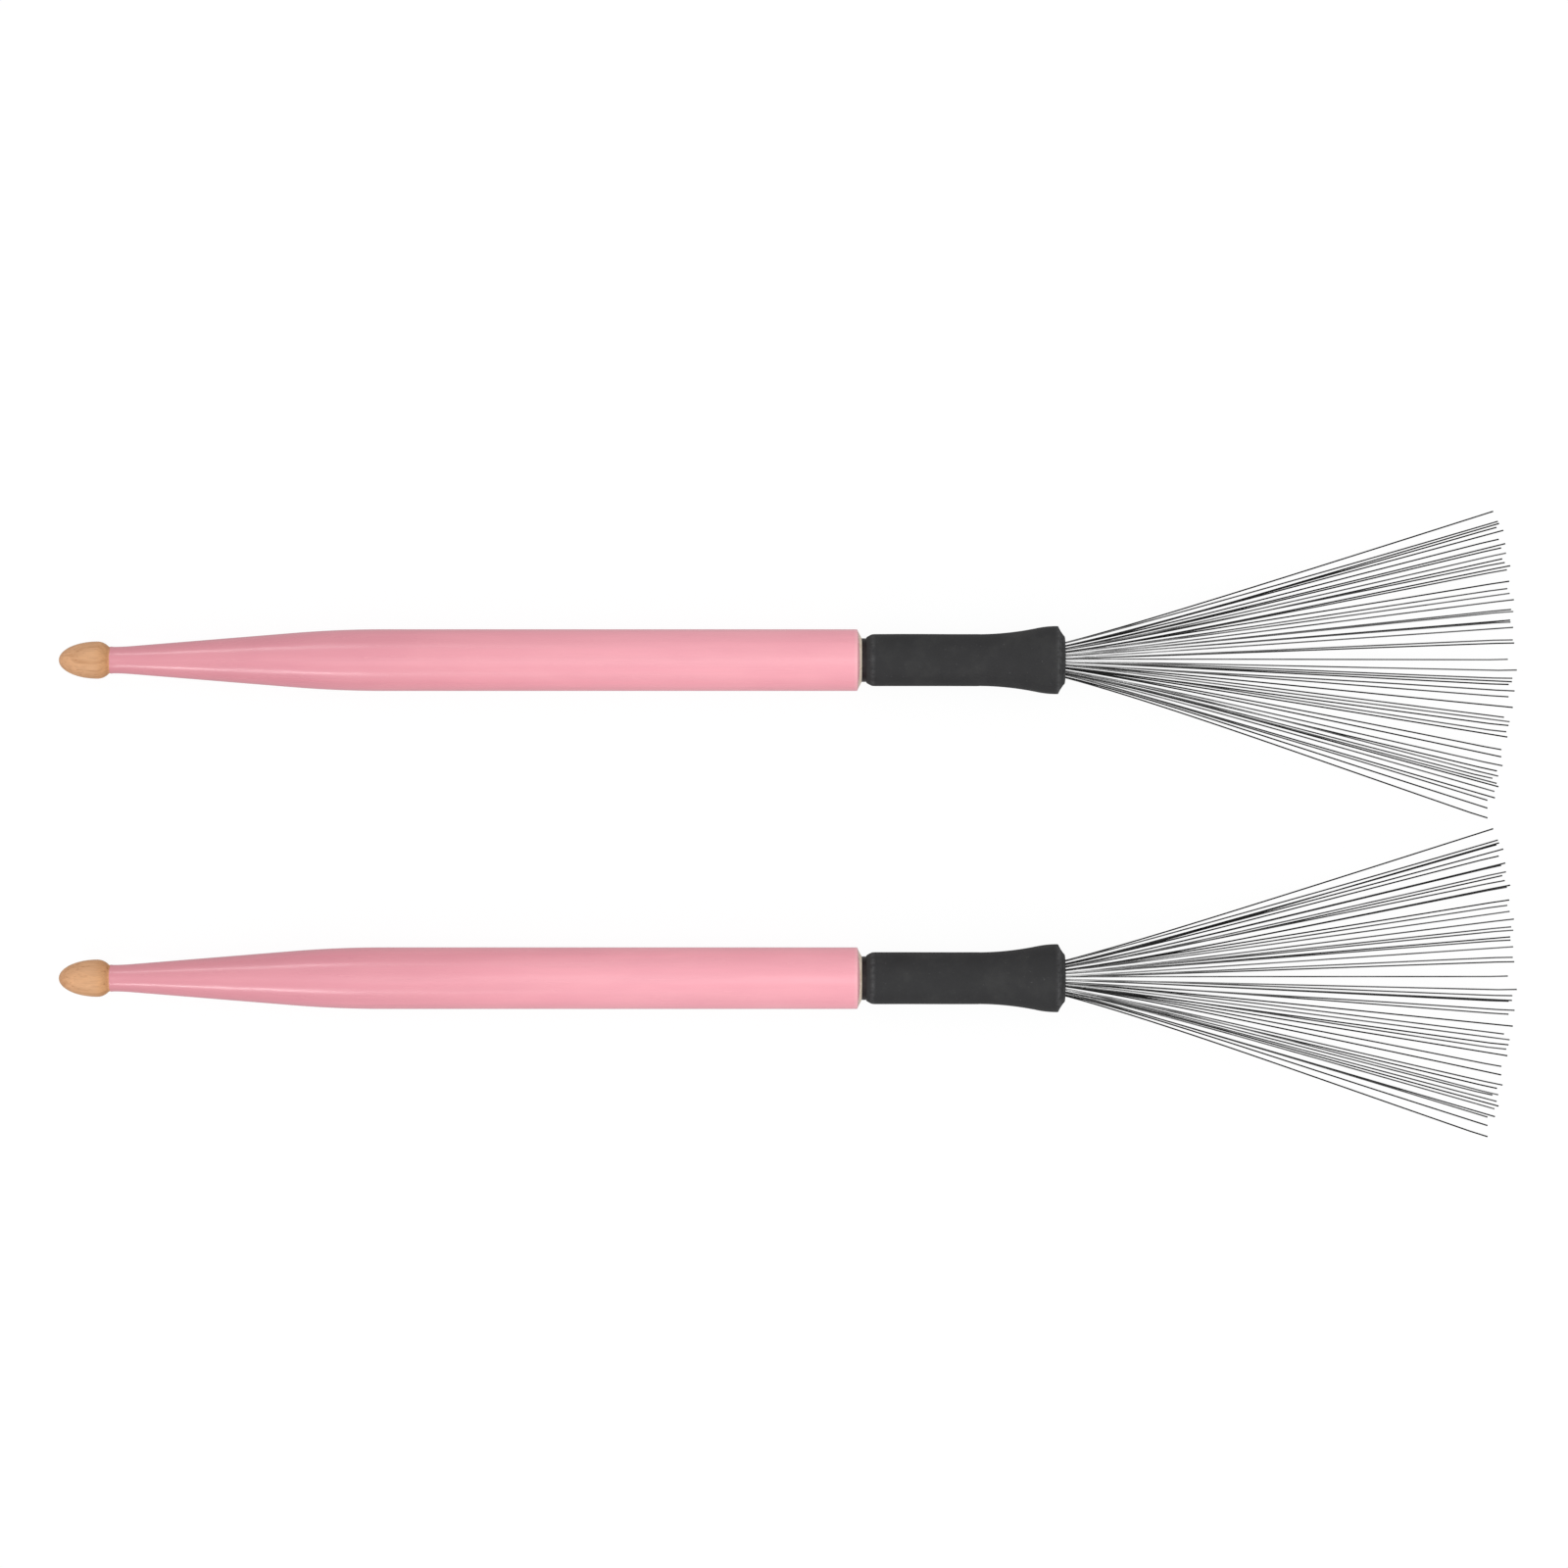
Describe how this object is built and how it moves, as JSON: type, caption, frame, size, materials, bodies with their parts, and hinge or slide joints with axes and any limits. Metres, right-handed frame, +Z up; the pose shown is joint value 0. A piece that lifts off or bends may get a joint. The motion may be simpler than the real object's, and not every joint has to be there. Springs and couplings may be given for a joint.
{
  "type": "wire drum brush pair",
  "caption": "Wooden drumsticks with wire brush ends: a rubber grip sleeve with a flared mouth slides along a tube and gathers the fan of steel wires.",
  "frame": {"origin": "on the surface that the pair lies on, under the middle of its box", "axes": "+X from the drumstick tips to the wire ends, +Y across the pair from brush b to brush a, +Z up"},
  "size_m": [0.34, 0.1465, 0.0159],
  "materials": {
    "lacquered_wood": "matte pink paint on turned wood, with a bare tip and a bare ring at the butt",
    "grip_rubber": "matte moulded rubber",
    "black_anodised": "black anodised tube",
    "wire_steel": "drawn hard steel wire",
    "clamp_steel": "crimped steel",
    "spring_steel": "blued spring steel",
    "clamp_brass": "turned brass"
  },
  "bodies": {
    "brush_a": {"stick_a": "lacquered_wood", "guide_tube_a": "black_anodised", "stop_ring_a": "spring_steel", "clamp_bush_a": "clamp_brass", "wire_clamp_a": "clamp_steel", "wire_roots_a": "wire_steel"},
    "sleeve_a": {"grip_sleeve_a": "grip_rubber"},
    "bunch_a_01": {"wires_a_01": "wire_steel"},
    "bunch_a_02": {"wires_a_02": "wire_steel"},
    "bunch_a_03": {"wires_a_03": "wire_steel"},
    "bunch_a_04": {"wires_a_04": "wire_steel"},
    "bunch_a_05": {"wires_a_05": "wire_steel"},
    "bunch_a_06": {"wires_a_06": "wire_steel"},
    "bunch_a_07": {"wires_a_07": "wire_steel"},
    "bunch_a_08": {"wires_a_08": "wire_steel"},
    "bunch_a_09": {"wires_a_09": "wire_steel"},
    "bunch_a_10": {"wires_a_10": "wire_steel"},
    "bunch_a_11": {"wires_a_11": "wire_steel"},
    "bunch_a_12": {"wires_a_12": "wire_steel"},
    "brush_b": {"stick_b": "lacquered_wood", "guide_tube_b": "black_anodised", "stop_ring_b": "spring_steel", "clamp_bush_b": "clamp_brass", "wire_clamp_b": "clamp_steel", "wire_roots_b": "wire_steel"},
    "sleeve_b": {"grip_sleeve_b": "grip_rubber"},
    "bunch_b_01": {"wires_b_01": "wire_steel"},
    "bunch_b_02": {"wires_b_02": "wire_steel"},
    "bunch_b_03": {"wires_b_03": "wire_steel"},
    "bunch_b_04": {"wires_b_04": "wire_steel"},
    "bunch_b_05": {"wires_b_05": "wire_steel"},
    "bunch_b_06": {"wires_b_06": "wire_steel"},
    "bunch_b_07": {"wires_b_07": "wire_steel"},
    "bunch_b_08": {"wires_b_08": "wire_steel"},
    "bunch_b_09": {"wires_b_09": "wire_steel"},
    "bunch_b_10": {"wires_b_10": "wire_steel"},
    "bunch_b_11": {"wires_b_11": "wire_steel"},
    "bunch_b_12": {"wires_b_12": "wire_steel"}
  },
  "joints": [
    {"name": "sleeve_a_slide", "type": "slide", "parent": "brush_a", "child": "sleeve_a", "axis": [1, 0, 0], "range_m": [0, 0.006]},
    {"name": "bunch_a_01_bend", "type": "hinge", "parent": "brush_a", "child": "bunch_a_01", "pos_m": [0.0605, 0.03528, 0.00795], "axis": [0, 0, 1], "range_deg": [0, 9.59]},
    {"name": "bunch_a_02_bend", "type": "hinge", "parent": "brush_a", "child": "bunch_a_02", "pos_m": [0.0605, 0.03581, 0.00795], "axis": [0, 0, 1], "range_deg": [0, 8.38]},
    {"name": "bunch_a_03_bend", "type": "hinge", "parent": "brush_a", "child": "bunch_a_03", "pos_m": [0.0605, 0.03635, 0.00795], "axis": [0, 0, 1], "range_deg": [0, 7.24]},
    {"name": "bunch_a_04_bend", "type": "hinge", "parent": "brush_a", "child": "bunch_a_04", "pos_m": [0.0605, 0.03687, 0.00795], "axis": [0, 0, 1], "range_deg": [0, 5.14]},
    {"name": "bunch_a_05_bend", "type": "hinge", "parent": "brush_a", "child": "bunch_a_05", "pos_m": [0.0605, 0.03741, 0.00795], "axis": [0, 0, 1], "range_deg": [0, 2.94]},
    {"name": "bunch_a_06_bend", "type": "hinge", "parent": "brush_a", "child": "bunch_a_06", "pos_m": [0.0605, 0.03794, 0.00795], "axis": [0, 0, 1], "range_deg": [0, 1.16]},
    {"name": "bunch_a_07_bend", "type": "hinge", "parent": "brush_a", "child": "bunch_a_07", "pos_m": [0.0605, 0.03846, 0.00795], "axis": [0, 0, 1], "range_deg": [-1.07, 0]},
    {"name": "bunch_a_08_bend", "type": "hinge", "parent": "brush_a", "child": "bunch_a_08", "pos_m": [0.0605, 0.039, 0.00795], "axis": [0, 0, 1], "range_deg": [-3.11, 0]},
    {"name": "bunch_a_09_bend", "type": "hinge", "parent": "brush_a", "child": "bunch_a_09", "pos_m": [0.0605, 0.03952, 0.00795], "axis": [0, 0, 1], "range_deg": [-5.05, 0]},
    {"name": "bunch_a_10_bend", "type": "hinge", "parent": "brush_a", "child": "bunch_a_10", "pos_m": [0.0605, 0.04006, 0.00795], "axis": [0, 0, 1], "range_deg": [-6.7, 0]},
    {"name": "bunch_a_11_bend", "type": "hinge", "parent": "brush_a", "child": "bunch_a_11", "pos_m": [0.0605, 0.04059, 0.00795], "axis": [0, 0, 1], "range_deg": [-8.07, 0]},
    {"name": "bunch_a_12_bend", "type": "hinge", "parent": "brush_a", "child": "bunch_a_12", "pos_m": [0.0605, 0.04111, 0.00795], "axis": [0, 0, 1], "range_deg": [-8.93, 0]},
    {"name": "sleeve_b_slide", "type": "slide", "parent": "brush_b", "child": "sleeve_b", "axis": [1, 0, 0], "range_m": [0, 0.006]},
    {"name": "bunch_b_01_bend", "type": "hinge", "parent": "brush_b", "child": "bunch_b_01", "pos_m": [0.0605, -0.03902, 0.00795], "axis": [0, 0, 1], "range_deg": [0, 9.59]},
    {"name": "bunch_b_02_bend", "type": "hinge", "parent": "brush_b", "child": "bunch_b_02", "pos_m": [0.0605, -0.03848, 0.00795], "axis": [0, 0, 1], "range_deg": [0, 8.38]},
    {"name": "bunch_b_03_bend", "type": "hinge", "parent": "brush_b", "child": "bunch_b_03", "pos_m": [0.0605, -0.03796, 0.00795], "axis": [0, 0, 1], "range_deg": [0, 7.24]},
    {"name": "bunch_b_04_bend", "type": "hinge", "parent": "brush_b", "child": "bunch_b_04", "pos_m": [0.0605, -0.03742, 0.00795], "axis": [0, 0, 1], "range_deg": [0, 5.14]},
    {"name": "bunch_b_05_bend", "type": "hinge", "parent": "brush_b", "child": "bunch_b_05", "pos_m": [0.0605, -0.03689, 0.00795], "axis": [0, 0, 1], "range_deg": [0, 2.94]},
    {"name": "bunch_b_06_bend", "type": "hinge", "parent": "brush_b", "child": "bunch_b_06", "pos_m": [0.0605, -0.03637, 0.00795], "axis": [0, 0, 1], "range_deg": [0, 1.16]},
    {"name": "bunch_b_07_bend", "type": "hinge", "parent": "brush_b", "child": "bunch_b_07", "pos_m": [0.0605, -0.03583, 0.00795], "axis": [0, 0, 1], "range_deg": [-1.07, 0]},
    {"name": "bunch_b_08_bend", "type": "hinge", "parent": "brush_b", "child": "bunch_b_08", "pos_m": [0.0605, -0.03531, 0.00795], "axis": [0, 0, 1], "range_deg": [-3.11, 0]},
    {"name": "bunch_b_09_bend", "type": "hinge", "parent": "brush_b", "child": "bunch_b_09", "pos_m": [0.0605, -0.03478, 0.00795], "axis": [0, 0, 1], "range_deg": [-5.05, 0]},
    {"name": "bunch_b_10_bend", "type": "hinge", "parent": "brush_b", "child": "bunch_b_10", "pos_m": [0.0605, -0.03424, 0.00795], "axis": [0, 0, 1], "range_deg": [-6.7, 0]},
    {"name": "bunch_b_11_bend", "type": "hinge", "parent": "brush_b", "child": "bunch_b_11", "pos_m": [0.0605, -0.03372, 0.00795], "axis": [0, 0, 1], "range_deg": [-8.07, 0]},
    {"name": "bunch_b_12_bend", "type": "hinge", "parent": "brush_b", "child": "bunch_b_12", "pos_m": [0.0605, -0.03318, 0.00795], "axis": [0, 0, 1], "range_deg": [-8.93, 0]},
    {"name": "brush_b_lift", "type": "slide", "parent": "brush_a", "child": "brush_b", "axis": [0, 0, 1], "range_m": [0, 0.15]}
  ],
  "couplings": [
    {"joint": "bunch_a_01_bend", "follows": "sleeve_a_slide", "rad_per_m": 27.752},
    {"joint": "bunch_a_02_bend", "follows": "sleeve_a_slide", "rad_per_m": 24.228},
    {"joint": "bunch_a_03_bend", "follows": "sleeve_a_slide", "rad_per_m": 20.912},
    {"joint": "bunch_a_04_bend", "follows": "sleeve_a_slide", "rad_per_m": 14.795},
    {"joint": "bunch_a_05_bend", "follows": "sleeve_a_slide", "rad_per_m": 8.4097},
    {"joint": "bunch_a_06_bend", "follows": "sleeve_a_slide", "rad_per_m": 3.2294},
    {"joint": "bunch_a_07_bend", "follows": "sleeve_a_slide", "rad_per_m": -2.9799},
    {"joint": "bunch_a_08_bend", "follows": "sleeve_a_slide", "rad_per_m": -8.9106},
    {"joint": "bunch_a_09_bend", "follows": "sleeve_a_slide", "rad_per_m": -14.542},
    {"joint": "bunch_a_10_bend", "follows": "sleeve_a_slide", "rad_per_m": -19.337},
    {"joint": "bunch_a_11_bend", "follows": "sleeve_a_slide", "rad_per_m": -23.325},
    {"joint": "bunch_a_12_bend", "follows": "sleeve_a_slide", "rad_per_m": -25.842},
    {"joint": "bunch_b_01_bend", "follows": "sleeve_b_slide", "rad_per_m": 27.752},
    {"joint": "bunch_b_02_bend", "follows": "sleeve_b_slide", "rad_per_m": 24.228},
    {"joint": "bunch_b_03_bend", "follows": "sleeve_b_slide", "rad_per_m": 20.912},
    {"joint": "bunch_b_04_bend", "follows": "sleeve_b_slide", "rad_per_m": 14.795},
    {"joint": "bunch_b_05_bend", "follows": "sleeve_b_slide", "rad_per_m": 8.4097},
    {"joint": "bunch_b_06_bend", "follows": "sleeve_b_slide", "rad_per_m": 3.2294},
    {"joint": "bunch_b_07_bend", "follows": "sleeve_b_slide", "rad_per_m": -2.9799},
    {"joint": "bunch_b_08_bend", "follows": "sleeve_b_slide", "rad_per_m": -8.9106},
    {"joint": "bunch_b_09_bend", "follows": "sleeve_b_slide", "rad_per_m": -14.542},
    {"joint": "bunch_b_10_bend", "follows": "sleeve_b_slide", "rad_per_m": -19.337},
    {"joint": "bunch_b_11_bend", "follows": "sleeve_b_slide", "rad_per_m": -23.325},
    {"joint": "bunch_b_12_bend", "follows": "sleeve_b_slide", "rad_per_m": -25.842}
  ]
}
